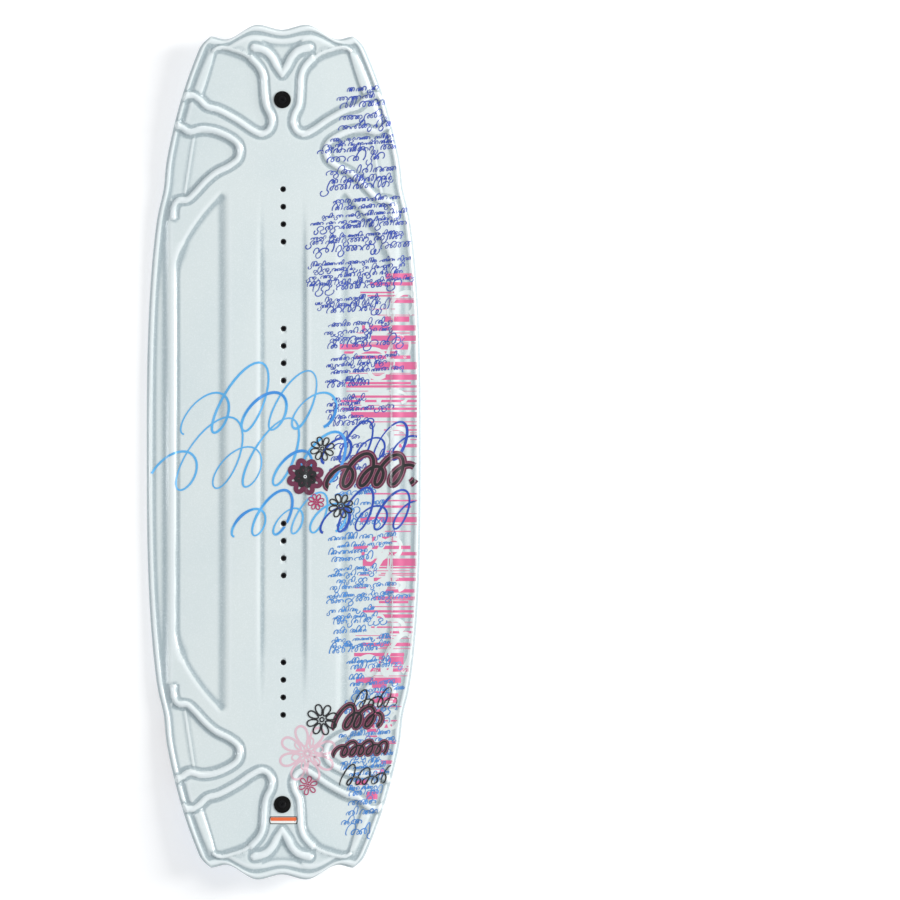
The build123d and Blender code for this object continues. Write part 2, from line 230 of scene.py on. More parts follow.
def deck_relief(x, y, rim):
    """Height of the moulded deck over the recess floor; rim is the distance in from the outline."""
    x, y = np.abs(x), np.abs(y)
    level = np.full(x.shape, SPINE)
    valley = 1 - smooth(*VALLEY, x)
    level -= VALLEY_DEPTH * valley * (1 - smooth(*VALLEY_END, y))

    out = np.clip(x - LEAF_BEND, 0, LEAF_ROUND - 0.1)
    leaf_edge = LEAF_TOP - LEAF_SLANT * out - LEAF_RUN * (1 - np.sqrt(1 - (out / LEAF_ROUND) ** 2))
    leaf = smooth(*LEAF, x) * smooth(-LEAF_WALL, LEAF_WALL, leaf_edge - y)
    level -= (SPINE - LEAF_LIFT) * (leaf * (1 - smooth(LEAF_OUT, LEAF_OUT + 4, x)))
    outer = smooth(*CREST, x) * (1 - smooth(*CREST_END, y))
    level = level * (1 - outer) + LEDGE * outer

    near = (x > 0) & (y > TIP_FROM)
    tx, ty, trim = x[near], y[near], rim[near]
    tip = level[near]
    line_a, line_b, line_v = curve_through(BEAD_A), curve_through(BEAD_B), curve_through(BEAD_V)
    pocket_a = pocket(np.vstack([line_a[:-1], curve_through(POCKET_A_WALL)[::-1]]), tx, ty)
    closed_b = np.vstack([line_b[line_b[:, 1] > 366], [(166, 372), (166, 478)]])
    pocket_b = pocket(closed_b, tx, ty)
    scoop = smooth(0, 7, (ty - 553) * 0.72 - tx) * smooth(0, 10, 600 + (tx / 34) ** 2 * 4 - ty)
    tip = tip * (1 - pocket_a) + POCKET_A_LIFT * pocket_a
    tip = tip * (1 - pocket_b) + POCKET_B_LIFT * pocket_b
    tip -= (SPINE - 0.4) * scoop
    foot = distance_to(line_v, tx, ty) - BEAD_V_HALF - 0.8
    tip -= GROOVE * np.exp(-((foot / GROOVE_WIDTH) ** 2)) * (1 - scoop)
    edge_fall = 1 - smooth(*LEDGE_SLOPE, trim)
    tip = tip * (1 - edge_fall) + LEDGE * edge_fall
    side_a = curve_through(POCKET_A_SIDE)
    side_b = curve_through(POCKET_B_SIDE)
    beyond = smooth(-2, 3, tx - np.interp(ty, side_a[::-1, 1], side_a[::-1, 0]))
    tip += 1.1 * beyond * pocket_a * (ty > 505)
    for line in (side_a, side_b):
        tip += SEAM * np.exp(-((distance_to(line, tx, ty) / SEAM_WIDTH) ** 2))
    for line in (line_a, line_b):
        gap = distance_to(line, tx, ty)
        fade = smooth(1.5, 9.0, trim)
        tip -= GROOVE * np.exp(-(((gap - BEAD_HALF - 1.0) / GROOVE_WIDTH) ** 2)) * fade
        tip = np.maximum(tip, bead(line, tx, ty) * (0.45 + 0.55 * fade))
    tip = np.maximum(tip, bead(curve_through(BEAD_TOP_A), tx, ty, THIN_HALF, THIN_TOP))
    tip = np.maximum(tip, bead(line_v, tx, ty, BEAD_V_HALF, BEAD_TOP))
    level[near] = tip
    return level + RIM_HEIGHT * np.exp(-(((rim - RIM_AT) / RIM_SPREAD) ** 2))


def base_relief(x, y, rim):
    """Height of the moulded base over its plain surface: shallow channels between long ridges."""
    x, y = np.abs(x), np.abs(y)
    ends = smooth(300, 400, y)
    level = 0.65 * smooth(156, 162, x) * (1 - ends)
    level += 0.65 * smooth(103, 112, x) * ends
    level -= 1.0 * np.exp(-(((x - 159) / 2.4) ** 2)) * (1 - smooth(350, 400, y))
    hook = curve_through(((159, 350), (157, 390), (150, 425), (140, 442), (131, 436), (128, 418)))
    level -= 1.3 * np.exp(-((distance_to(hook, x, y) / 3.4) ** 2)) * (y > 345)
    channel = curve_through(((107, 300), (107, 400), (105, 500), (98, 570), (90, 592)))
    level -= 1.2 * np.exp(-((distance_to(channel, x, y) / 3.8) ** 2)) * smooth(300, 360, y)
    return level * smooth(2.0, 12.0, rim)


def place(s, t):
    """Plan place of board coordinates s (across) and t (along), each from -1 to 1."""
    along = t * CORNER_Y
    x = s * half_width(along)
    reach = smooth(0.82, 1.0, np.abs(t))
    y = along + np.sign(t) * reach * (tip_edge(np.abs(s) * TIP_EDGE[-1][0]) - CORNER_Y)
    side = (1 - np.abs(s)) * half_width(along) + 1e-6
    end = (1 - np.abs(t)) * CORNER_Y + 1e-6
    rim = (side ** -4.0 + end ** -4.0) ** -0.25
    return x, y, rim


def rounded(rim, radius):
    """How far a surface has fallen away at a distance in from its edge, over a round of a radius."""
    gap = np.clip(1 - rim / radius, 0, 1)
    return radius * (1 - np.sqrt(1 - gap ** 2))


def surface(side, s, t):
    """Places on the finished deck or base, in millimetres."""
    x, y, rim = place(s, t)
    if side == "deck":
        z = deck_height(x, y) + deck_relief(x, y, rim) - rounded(rim, EDGE_ROUND["deck"])
    else:
        z = base_height(x, y) + base_relief(x, y, rim) + rounded(rim, EDGE_ROUND["base"])
    return x, y, z


def spread(steps, edges):
    """Even steps from -1 to 1 with extra ones close to both ends."""
    inner = np.linspace(-1 + edges[-1], 1 - edges[-1], steps)
    return np.concatenate([-1 + np.array(edges[:-1]), inner, 1 - np.array(edges[:-1])[::-1]])


def grid_lines(side):
    """Board coordinates of the skin's grid lines, close together where the relief is fine."""
    insets = np.array([0.0, 0.25, 0.8, 1.7, 2.9, 4.3])
    s = spread(188 if side == "deck" else 130, insets / HALF_WIDTH)
    fine = 1.85 if side == "deck" else 3.4
    middle = np.linspace(-300, 300, 90 if side == "deck" else 70) / CORNER_Y
    rows = int((CORNER_Y - 306) / fine)
    outer = np.linspace(306 / CORNER_Y, 1 - insets[-1] / CORNER_Y, rows)
    last = 1 - insets[:-1][::-1] / CORNER_Y
    t = np.concatenate([-last[::-1], -outer[::-1], middle, outer, last])
    return s, t


def new_piece(name, verts, faces, material, smooth_faces=True):
    """Mesh object from places in metres, linked, with its material."""
    mesh = bpy.data.meshes.new(name)
    mesh.from_pydata([tuple(v) for v in verts], [], faces)
    mesh.validate()
    piece = bpy.data.objects.new(name, mesh)
    bpy.context.scene.collection.objects.link(piece)
    mesh.materials.append(material)
    if smooth_faces:
        mesh.shade_smooth()
    return piece


def finish(piece, slot, *nodes):
    """Ride the board and stand for CAD nodes, which are hidden; the slot is not used."""
    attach(piece, BODY)
    if nodes:
        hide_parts(*nodes)
    return piece


def outward(mesh):
    """Turn all faces of a closed mesh outwards."""
    work = bmesh.new()
    work.from_mesh(mesh)
    bmesh.ops.recalc_face_normals(work, faces=work.faces)
    work.to_mesh(mesh)
    work.free()


def boundary(across, along):
    """Grid indices round the edge of a grid, in order, as (column, row)."""
    ring = [(i, 0) for i in range(across)]
    ring += [(across - 1, j) for j in range(1, along)]
    ring += [(i, along - 1) for i in range(across - 2, -1, -1)]
    ring += [(0, j) for j in range(along - 2, 0, -1)]
    return ring


def edge_rings(side, s, t):
    """Back rings of a skin: the lip over the rail, then the step up to the sheet's back."""
    ring = boundary(len(s), len(t))
    rs = np.array([s[i] for i, _ in ring])
    rt = np.array([t[j] for _, j in ring])
    edge = surface(side, rs, rt)[2]
    rings = []
    for inset, lifted in ((LIP - 0.6, False), (LIP + 0.6, True)):
        x, y, _ = place(rs * (1 - inset / half_width(rt * CORNER_Y)), rt * (1 - inset / CORNER_Y))
        back = deck_height(x, y) - SHEET if side == "deck" else base_height(x, y) + SHEET
        rings.append(np.column_stack([x, y, back if lifted else edge]))
    return ring, rings


def blurred(grid, reach):
    """Mean of a grid over a window of cells."""
    for axis in (0, 1):
        pad = [(reach, reach) if a == axis else (0, 0) for a in (0, 1)]
        total = np.cumsum(np.pad(grid, pad, mode="edge"), axis=axis)
        count = grid.shape[axis]
        total = np.insert(total, 0, 0, axis=axis)
        low, high = np.arange(count), np.arange(count) + 2 * reach + 1
        grid = (np.take(total, high, axis) - np.take(total, low, axis)) / (2 * reach + 1)
    return grid


def shade_and_highlight_mask(relief, x):
    """How deep the relief lies against its surroundings, from -1 on a crest to 1 in a groove, deeper where
    the wall is steep; it masks the painted highlight on crests and the painted shade in grooves and on steep
    walls.
    """
    near = np.clip((blurred(relief, 3) - relief) / 0.7, -1, 1)
    steep = np.abs(np.gradient(relief, axis=1) / np.gradient(x, axis=1))
    return np.clip(near + 1.6 * np.clip(steep - 0.04, 0, 0.3), -1, 1)


def build_skin(name, side, material):
    """Closed moulded skin: the relief grid, a lip round the rail and a ladder of faces at the back."""
    s, t = grid_lines(side)
    across, along = len(s), len(t)
    gs, gt = np.meshgrid(s, t)
    x, y, z = surface(side, gs.ravel(), gt.ravel())
    verts = [np.column_stack([x, y, z])]
    index = np.arange(across * along).reshape(along, across)
    quads = np.stack([index[:-1, :-1], index[:-1, 1:], index[1:, 1:], index[1:, :-1]], -1)
    faces = quads.reshape(-1, 4).tolist()
    ring, backs = edge_rings(side, s, t)
    front = [int(index[j, i]) for i, j in ring]
    count = len(ring)
    for number, back in enumerate(backs):
        start = across * along + number * count
        behind = list(range(start, start + count))
        verts.append(back)
        for a in range(count):
            b = (a + 1) % count
            faces.append([front[a], behind[a], behind[b], front[b]])
        front = behind
    right = front[across - 1:across + along - 1]
    left = [front[0]] + front[:across + along + across - 3:-1]
    for j in range(1, along - 2):
        faces.append([left[j], left[j + 1], right[j + 1], right[j]])
    faces.append(front[:across] + [right[1], left[1]])
    faces.append([left[along - 2], right[along - 2]] + front[across + along - 2:2 * across + along - 2])
    piece = new_piece(name, np.vstack(verts) * MM, faces, material)
    outward(piece.data)
    px, py, rim = place(gs, gt)
    relief = (deck_relief if side == "deck" else base_relief)(px, py, rim)
    # per-vertex mask of painted shade in grooves and on steep walls and painted highlight on crests, read by
    # the pearl material
    shade_and_highlight = np.zeros(len(piece.data.vertices))
    shade_and_highlight[:across * along] = shade_and_highlight_mask(relief if side == "deck" else -relief, px).ravel()
    piece.data.attributes.new("shade_and_highlight", "FLOAT", "POINT").data.foreach_set("value", shade_and_highlight)
    return piece


def build_rail(name, material):
    """Moulded edge between the skins: a closed ring with a softly bulging outer wall."""
    s, t = grid_lines("base")
    ring = boundary(len(s), len(t))
    rs = np.array([s[i] for i, _ in ring])
    rt = np.array([t[j] for _, j in ring])
    x, y, top = surface("deck", rs, rt)
    low = surface("base", rs, rt)[2]
    ix, iy, _ = place(rs * (1 - LIP / half_width(rt * CORNER_Y)), rt * (1 - LIP / CORNER_Y))
    out = 0.4 / LIP
    loops = [np.column_stack([ix, iy, top]), np.column_stack([x, y, top])]
    for share, bulge in ((0.75, 0.75), (0.5, 1.0), (0.25, 0.75)):
        ox, oy = x + (x - ix) * out * bulge, y + (y - iy) * out * bulge
        loops.append(np.column_stack([ox, oy, low + (top - low) * share]))
    loops += [np.column_stack([x, y, low]), np.column_stack([ix, iy, low])]
    count, faces = len(ring), []
    for k in range(len(loops)):
        a0, b0 = k * count, (k + 1) % len(loops) * count
        faces += [[a0 + i, a0 + (i + 1) % count, b0 + (i + 1) % count, b0 + i] for i in range(count)]
    piece = new_piece(name, np.vstack(loops) * MM, faces, material)
    outward(piece.data)
    return piece


def cut_round(piece, places, radius, depth):
    """Bore upright round holes through a closed piece."""
    cutter = bmesh.new()
    for x, y, z in places:
        made = bmesh.ops.create_cone(cutter, cap_ends=True, segments=40, radius1=radius, radius2=radius,
                                     depth=depth)
        bmesh.ops.translate(cutter, verts=made["verts"], vec=(x, y, z))
    mesh = bpy.data.meshes.new("bores")
    cutter.to_mesh(mesh)
    cutter.free()
    tool = bpy.data.objects.new("bores", mesh)
    bpy.context.scene.collection.objects.link(tool)
    cut = piece.modifiers.new("bores", "BOOLEAN")
    cut.operation, cut.solver, cut.object = "DIFFERENCE", "MANIFOLD", tool
    graph = bpy.context.evaluated_depsgraph_get()
    result = bpy.data.meshes.new_from_object(piece.evaluated_get(graph))
    piece.modifiers.remove(cut)
    piece.data = result
    bpy.data.objects.remove(tool)
    bpy.data.meshes.remove(mesh)


# ---------------------------------------------------------------- shader groups and materials

def socketed_group(name, inputs, outputs):
    """Empty shader node group with named float, colour and vector sockets."""
    group = bpy.data.node_groups.new(name, "ShaderNodeTree")
    for socket, kind, value in inputs:
        made = group.interface.new_socket(socket, in_out="INPUT", socket_type="NodeSocket" + kind)
        if value is not None:
            made.default_value = value
    for socket, kind in outputs:
        group.interface.new_socket(socket, in_out="OUTPUT", socket_type="NodeSocket" + kind)
    return group, group.nodes.new("NodeGroupInput"), group.nodes.new("NodeGroupOutput")


def add_node(tree, kind, inputs, **settings):
    """Node with its inputs set: a socket is linked, anything else becomes the input's value."""
    node = tree.nodes.new(kind)
    for name, value in settings.items():
        setattr(node, name, value)
    for key, value in inputs.items():
        if isinstance(value, bpy.types.NodeSocket):
            tree.links.new(value, node.inputs[key])
        else:
            node.inputs[key].default_value = value
    return node


def noise(tree, vector, scale, detail=3.0, roughness=0.5):
    """Noise texture node on a vector socket; scale is a number or a socket."""
    return add_node(tree, "ShaderNodeTexNoise",
                    {"Vector": vector, "Scale": scale, "Detail": detail, "Roughness": roughness})


def ramp(tree, fac, low, high, to_low=0.0, to_high=1.0):
    """Map Range node that clamps."""
    node = add_node(tree, "ShaderNodeMapRange",
                    {"Value": fac, "From Min": low, "From Max": high, "To Min": to_low, "To Max": to_high})
    return node.outputs["Result"]


def mixed(tree, fac, first, second):
    """Colour mix of two sockets or colours by a factor socket."""
    first, second = ((*c, 1.0) if isinstance(c, tuple) else c for c in (first, second))
    return add_node(tree, "ShaderNodeMix", {0: fac, 6: first, 7: second}, data_type="RGBA").outputs[2]


def pearl_group():
    """Pearl finish: slow tone drift, fine flake and a faint orange-peel height."""
    group, source, sink = socketed_group(
        "Pearl finish",
        (("Drift Scale", "Float", 6.0), ("Flake Scale", "Float", 900.0), ("Peel Scale", "Float", 160.0)),
        (("Drift", "Float"), ("Flake", "Float"), ("Peel", "Float")))
    where = group.nodes.new("ShaderNodeTexCoord").outputs["Object"]
    drift = noise(group, where, source.outputs["Drift Scale"], 4.0)
    flake = add_node(group, "ShaderNodeTexVoronoi", {"Vector": where, "Scale": source.outputs["Flake Scale"]})
    peel = noise(group, where, source.outputs["Peel Scale"], 2.0)
    group.links.new(ramp(group, drift.outputs["Fac"], 0.3, 0.7), sink.inputs["Drift"])
    group.links.new(ramp(group, flake.outputs["Color"], 0.55, 1.0), sink.inputs["Flake"])
    group.links.new(peel.outputs["Fac"], sink.inputs["Peel"])
    return group


def moulding_group():
    """Moulded or cast surface: fine grain height and a broad scuff mask."""
    group, source, sink = socketed_group(
        "Moulded grain",
        (("Grain Scale", "Float", 1400.0), ("Scuff Scale", "Float", 60.0)),
        (("Grain", "Float"), ("Scuff", "Float")))
    where = group.nodes.new("ShaderNodeTexCoord").outputs["Object"]
    grain = noise(group, where, source.outputs["Grain Scale"], 2.0, 0.6)
    scuff = noise(group, where, source.outputs["Scuff Scale"], 6.0, 0.65)
    group.links.new(grain.outputs["Fac"], sink.inputs["Grain"])
    group.links.new(ramp(group, scuff.outputs["Fac"], 0.5, 0.75), sink.inputs["Scuff"])
    return group


def group_node(tree, group, **values):
    """Place a shared group in a material, with its own values."""
    node = tree.nodes.new("ShaderNodeGroup")
    node.node_tree = group
    for socket, value in values.items():
        node.inputs[socket.replace("_", " ")].default_value = value
    return node


def bump(tree, height, strength, distance, shader):
    """Bump from a height socket into the shader's normal."""
    node = add_node(tree, "ShaderNodeBump", {"Height": height, "Strength": strength, "Distance": distance})
    tree.links.new(node.outputs["Normal"], shader.inputs["Normal"])


def blank_material(name, **constants):
    """Material with one Principled shader and constants on its own sockets."""
    material = bpy.data.materials.new(name)
    material.use_nodes = True
    shader = material.node_tree.nodes["Principled BSDF"]
    for socket, value in constants.items():
        shader.inputs[socket.replace("_", " ")].default_value = value
    return material, material.node_tree, shader


def pearl_material(name, light, deep, shade, flake, drift_scale=6.0, streak=0.0):
    """Glossy pearl moulding under a clear coat, with painted shade in the grooves and on steep walls and a
    painted highlight on the crests.
    """
    material, tree, shader = blank_material(name, Coat_Weight=0.6, Coat_Roughness=0.12, Metallic=0.0)
    finish_node = group_node(tree, bpy.data.node_groups["Pearl finish"], Drift_Scale=drift_scale)
    tone = mixed(tree, finish_node.outputs["Drift"], light, deep)
    if streak:
        where = tree.nodes.new("ShaderNodeTexCoord").outputs["Object"]
        stretch = add_node(tree, "ShaderNodeMapping", {"Vector": where, "Scale": (26.0, 2.2, 1.0)})
        brushed = noise(tree, stretch.outputs["Vector"], 1.6, 5.0)
        tone = mixed(tree, ramp(tree, brushed.outputs["Fac"], 0.35, 0.8, 0.0, streak), tone, deep)
    painted_light_attribute = tree.nodes.new("ShaderNodeAttribute")
    painted_light_attribute.attribute_name = "shade_and_highlight"
    # painted shade: the shade colour is mixed in over grooves and steep walls
    tone = mixed(tree, ramp(tree, painted_light_attribute.outputs["Fac"], 0.02, 0.6, 0.0, 0.78), tone, shade)
    # painted highlight: crests are lightened toward the flake colour, which also tints the flakes
    tone = mixed(tree, ramp(tree, painted_light_attribute.outputs["Fac"], -0.05, -0.7, 0.0, 0.5), tone, flake)
    colour = mixed(tree, ramp(tree, finish_node.outputs["Flake"], 0.0, 1.0, 0.0, 0.35), tone, flake)
    tree.links.new(colour, shader.inputs["Base Color"])
    tree.links.new(ramp(tree, finish_node.outputs["Drift"], 0.0, 1.0, 0.3, 0.4), shader.inputs["Roughness"])
    bump(tree, finish_node.outputs["Peel"], 0.05, 0.0004, shader)
    return material


def ink_material(name, colour, deep, density=0.35):
    """Printed ink under the clear coat: small variations of tone along the line."""
    material, tree, shader = blank_material(name, Coat_Weight=0.6, Coat_Roughness=0.12)
    grain = group_node(tree, bpy.data.node_groups["Moulded grain"], Grain_Scale=500.0, Scuff_Scale=28.0)
    spread_mask = ramp(tree, grain.outputs["Scuff"], 0.0, 1.0, 0.0, density)
    tree.links.new(mixed(tree, spread_mask, colour, deep), shader.inputs["Base Color"])
    tree.links.new(ramp(tree, grain.outputs["Grain"], 0.0, 1.0, 0.32, 0.46), shader.inputs["Roughness"])
    return material


def moulded_material(name, colour, worn, roughness, metallic=0.0, grain=1400.0, strength=0.25, shine=0.5):
    """Plain moulded, cast or turned part with grain, scuffs and uneven gloss."""
    material, tree, shader = blank_material(name, Metallic=metallic, Specular_IOR_Level=shine)
    group = group_node(tree, bpy.data.node_groups["Moulded grain"], Grain_Scale=grain)
    tree.links.new(mixed(tree, ramp(tree, group.outputs["Scuff"], 0, 1, 0, 0.6), colour, worn),
                   shader.inputs["Base Color"])
    tree.links.new(ramp(tree, group.outputs["Scuff"], 0, 1, roughness, min(1.0, roughness + 0.18)),
                   shader.inputs["Roughness"])
    bump(tree, group.outputs["Grain"], strength, 0.0003, shader)
    return material


# ---------------------------------------------------------------- ink laid on the surfaces

def geometry_tree(name, inputs):
    """Empty geometry node tree with named inputs and one geometry output."""
    tree = bpy.data.node_groups.new(name, "GeometryNodeTree")
    tree.interface.new_socket("Geometry", in_out="INPUT", socket_type="NodeSocketGeometry")
    for socket, kind in inputs:
        tree.interface.new_socket(socket, in_out="INPUT", socket_type="NodeSocket" + kind)
    tree.interface.new_socket("Geometry", in_out="OUTPUT", socket_type="NodeSocketGeometry")
    return tree, tree.nodes.new("NodeGroupInput"), tree.nodes.new("NodeGroupOutput")


def lay_down(tree, source, mesh):
    """Nodes that drop a flat mesh onto the surface, lift it by the ink's height and drop what misses."""
    given = source.outputs
    where = tree.nodes.new("GeometryNodeInputPosition").outputs[0]
    parts = add_node(tree, "ShaderNodeSeparateXYZ", {0: where}).outputs
    start = add_node(tree, "ShaderNodeCombineXYZ",
                     {"X": parts["X"], "Y": parts["Y"], "Z": given["From Height"]})
    target = add_node(tree, "GeometryNodeObjectInfo", {"Object": given["Surface"]})
    ray = add_node(tree, "GeometryNodeRaycast", {
        "Target Geometry": target.outputs["Geometry"], "Source Position": start.outputs[0],
        "Ray Direction": given["Direction"], "Ray Length": 1.0}).outputs
    above = add_node(tree, "ShaderNodeMath", {0: parts["Z"], 1: -FLOATING})
    rise = add_node(tree, "ShaderNodeMath", {0: above.outputs[0], 1: given["Lift"]})
    lift = add_node(tree, "ShaderNodeVectorMath",
                    {0: ray["Hit Normal"], "Scale": rise.outputs[0]}, operation="SCALE")
    moved = add_node(tree, "GeometryNodeSetPosition", {
        "Geometry": mesh, "Selection": ray["Is Hit"], "Position": ray["Hit Position"],
        "Offset": lift.outputs[0]})
    height = add_node(tree, "ShaderNodeSeparateXYZ", {0: where})
    missed = add_node(tree, "FunctionNodeCompare", {
        "A": height.outputs["Z"], "B": FLOATING, "Epsilon": MISS_MARGIN}, operation="EQUAL")
    kept = add_node(tree, "GeometryNodeDeleteGeometry", {
        "Geometry": moved.outputs[0], "Selection": missed.outputs[0]})
    return kept.outputs[0]


FLOATING = -1.0            # height at which flat art waits before it is laid down, in metres
MISS_MARGIN = 0.001        # what is still this close to that height missed the surface
LAYER_STEP, STROKE_CLIMB = 0.012, 0.07     # heights that keep crossing lines apart, in millimetres
SHARED = (("Surface", "Object"), ("Material", "Material"), ("Lift", "Float"), ("From Height", "Float"),
          ("Direction", "Vector"))


def close_tree(tree, sink, geometry, source):
    """End a tree in Realize Instances and Set Material."""
    real = add_node(tree, "GeometryNodeRealizeInstances", {0: geometry})
    coat = add_node(tree, "GeometryNodeSetMaterial",
                    {"Geometry": real.outputs[0], "Material": source.outputs["Material"]})
    tree.links.new(coat.outputs[0], sink.inputs[0])


def stroke_tree():
    """Ink line: a curve becomes a flat strip as wide as its radius says, laid on a surface."""
    tree, source, sink = geometry_tree("Ink line", (*SHARED, ("Step", "Float"), ("Across", "Int")))
    given = source.outputs
    even = add_node(tree, "GeometryNodeResampleCurve",
                    {"Curve": given["Geometry"], "Length": given["Step"]}, mode="LENGTH")
    line = add_node(tree, "GeometryNodeCurvePrimitiveLine", {"Start": (-1, 0, 0), "End": (1, 0, 0)})
    split = add_node(tree, "GeometryNodeResampleCurve",
                     {"Curve": line.outputs[0], "Count": given["Across"]}, mode="COUNT")
    width = tree.nodes.new("GeometryNodeInputRadius")
    strip = add_node(tree, "GeometryNodeCurveToMesh", {
        "Curve": even.outputs[0], "Profile Curve": split.outputs[0], "Scale": width.outputs[0]})
    close_tree(tree, sink, lay_down(tree, source, strip.outputs[0]), source)
    return tree


def film_tree():
    """Sticker film: a flat mesh laid on a surface."""
    tree, source, sink = geometry_tree("Sticker film", SHARED)
    close_tree(tree, sink, lay_down(tree, source, source.outputs["Geometry"]), source)
    return tree


def run_tree(obj, tree, values):
    """Evaluate a geometry node tree on an object and return the result as a plain mesh."""
    modifier = obj.modifiers.new(tree.name, "NODES")
    modifier.node_group = tree
    for item in tree.interface.items_tree:
        if item.in_out == "INPUT" and item.name in values:
            modifier[item.identifier] = values[item.name]
    graph = bpy.context.evaluated_depsgraph_get()
    mesh = bpy.data.meshes.new_from_object(obj.evaluated_get(graph))
    obj.modifiers.remove(modifier)
    return mesh


def laid(name, flat, tree, side, material, lift, **extra):
    """Run a tree that lays a flat object on the deck or base and keep the result as a piece."""
    deck = side == "deck"
    skin = bpy.data.objects[side + "_skin"]
    values = {"Surface": skin, "Material": material, "Lift": lift * MM,
              "From Height": 0.5 if deck else -0.5, "Direction": (0.0, 0.0, -1.0 if deck else 1.0), **extra}
    mesh = run_tree(flat, tree, values)
    up = sum(polygon.normal.z * polygon.area for polygon in mesh.polygons)
    if (up > 0) != deck:
        mesh.flip_normals()
    if not len(mesh.polygons):
        raise RuntimeError(name + " came out empty")
    piece = bpy.data.objects.new(name, mesh)
    mesh.name = name
    bpy.context.scene.collection.objects.link(piece)
    mesh.shade_smooth()
    old = flat.data
    bpy.data.objects.remove(flat)
    (bpy.data.curves if isinstance(old, bpy.types.Curve) else bpy.data.meshes).remove(old)
    return piece


def ink(name, side, strokes, material, lift, step, across):
    """One ink layer: strokes are (points in mm, widths in mm, closed)."""
    curve = bpy.data.curves.new(name + "_line", "CURVE")
    curve.dimensions = "3D"
    curve.twist_mode = "Z_UP"
    for number, (points, widths, closed) in enumerate(strokes):
        climb = (number * 5 % 7) * LAYER_STEP
        climb = climb + (0 if closed else 1) * np.linspace(0, STROKE_CLIMB, len(points))
        line = curve.splines.new("POLY")
        line.points.add(len(points) - 1)
        widths = np.broadcast_to(widths, len(points))
        flat = np.column_stack([points[:, 0] * MM, points[:, 1] * MM, FLOATING + climb * MM,
                                np.ones(len(points))])
        line.points.foreach_set("co", flat.ravel())
        line.points.foreach_set("radius", widths * MM / 2)
        line.use_cyclic_u = closed
    flat = bpy.data.objects.new(name + "_line", curve)
    bpy.context.scene.collection.objects.link(flat)
    tree = bpy.data.node_groups["Ink line"]
    piece = laid(name, flat, tree, side, material, lift, Step=step * MM, Across=across)
    return finish(piece, side)


# ---------------------------------------------------------------- drawing, all in millimetres

def petals(centre, radius, count, turn=0.0, fat=0.17):
    """Closed petal loops of a plain blossom, and its round middle."""
    loops = []
    a = np.linspace(0, 2 * math.pi, 22, endpoint=False)
    for k in range(count):
        angle = turn + 2 * math.pi * k / count
        out = 0.62 * radius + 0.36 * radius * np.cos(a)
        side = fat * radius * np.sin(a) * (1.15 + 0.35 * np.cos(a))
        loops.append(np.column_stack([centre[0] + out * math.cos(angle) - side * math.sin(angle),
                                      centre[1] + out * math.sin(angle) + side * math.cos(angle)]))
    middle = 0.13 * radius
    loops.append(np.column_stack([centre[0] + middle * np.cos(a), centre[1] + middle * np.sin(a)]))
    return loops


def blossom_strokes(items):
    """Strokes of several blossoms given as (centre, radius, petals, line width)."""
    strokes = []
    for centre, radius, count, width in items:
        strokes += [(loop, width, True) for loop in petals(centre, radius, count, 0.3)]
    return strokes


def flourish(start, loops, seed, slant=0.42, tilt=0.05):
    """Open loops of different widths and heights that run along a line."""
    rng = random.Random(seed)
    theta = np.linspace(0, 2 * math.pi, 30, endpoint=False)
    at, spans = 0.0, []
    for pitch, tall in loops:
        fat = pitch * rng.uniform(0.42, 0.56)
        up = tall * (1 - np.cos(theta)) / 2
        spans.append(np.column_stack([at + pitch * theta / (2 * math.pi) - fat * np.sin(theta) + slant * up,
                                      up + tilt * (at + pitch * theta / (2 * math.pi))]))
        at += pitch
    return np.vstack(spans) + start


def scrawl(start, size, count, rng):
    """Small loose scribble that spells nothing: a spring of loops, some tall, some hanging down."""
    heights = (0.6, 0.75, 0.9, 0.9, 1.1, 1.9, -0.9)
    loops = [(size * rng.uniform(0.5, 0.95), size * rng.choice(heights)) for _ in range(count)]
    return flourish(start, loops, rng.random(), 0.32, 0.09)


def pen(points, width, seed, vary=0.35):
    """Stroke whose width swells and thins like a pen's."""
    rng = random.Random(seed)
    knots = [width * (1 + vary * rng.uniform(-1, 1)) for _ in range(max(3, len(points) // 9))]
    widths = np.interp(np.linspace(0, 1, len(points)), np.linspace(0, 1, len(knots)), knots)
    return (points, widths, False)


def clipped(strokes, margin):
    """The stretches of some strokes that lie on the board, at least a margin in from its sides."""
    parts = []
    for points, widths, _ in strokes:
        widths = np.broadcast_to(widths, len(points))
        on = np.where(np.abs(points[:, 0]) < half_width(points[:, 1]) - margin)[0]
        for run in np.split(on, np.where(np.diff(on) > 1)[0] + 1):
            if len(run) > 4:
                parts.append((points[run], widths[run], False))
    return parts


LEFT_OF_ROWS = ((-590, -420, -330, -290, -215, -90, 60, 205, 225, 330, 350, 440, 470, 545),
                (88, 84, 92, 66, 64, 70, 60, 56, 34, 36, 62, 52, 76, 84))
RIGHT_OF_ROWS = ((-590, -440, -420, -60, 60, 180, 235, 262, 545),
                 (500, 500, 150, 138, 128, 140, 150, 500, 500))


def scribble_rows(top, bottom, seed):
    """Rows of small loose scribble down the right of the deck."""
    rng = random.Random(seed)
    strokes, y = [], top
    while y > bottom:
        size = rng.choice((3.9, 4.4, 5.2, 6.6, 8.6))
        x = float(np.interp(y, *LEFT_OF_ROWS)) + rng.uniform(-2, 14)
        right = min(float(half_width(y)) - 4, float(np.interp(y, *RIGHT_OF_ROWS)) + rng.uniform(-15, 45))
        while x < right - 3 * size:
            points = scrawl((x, y + (x - 60) * 0.07), size, rng.choice((3, 4, 6, 7)), rng)
            points = points[points[:, 0] < right]
            if len(points) > 12:
                strokes.append(pen(points, 0.95 + 0.05 * size, rng.random()))
                x = float(points[:, 0].max())
            x += rng.uniform(1.5, 5.5)
        y -= size * rng.uniform(1.9, 2.4)
    return strokes


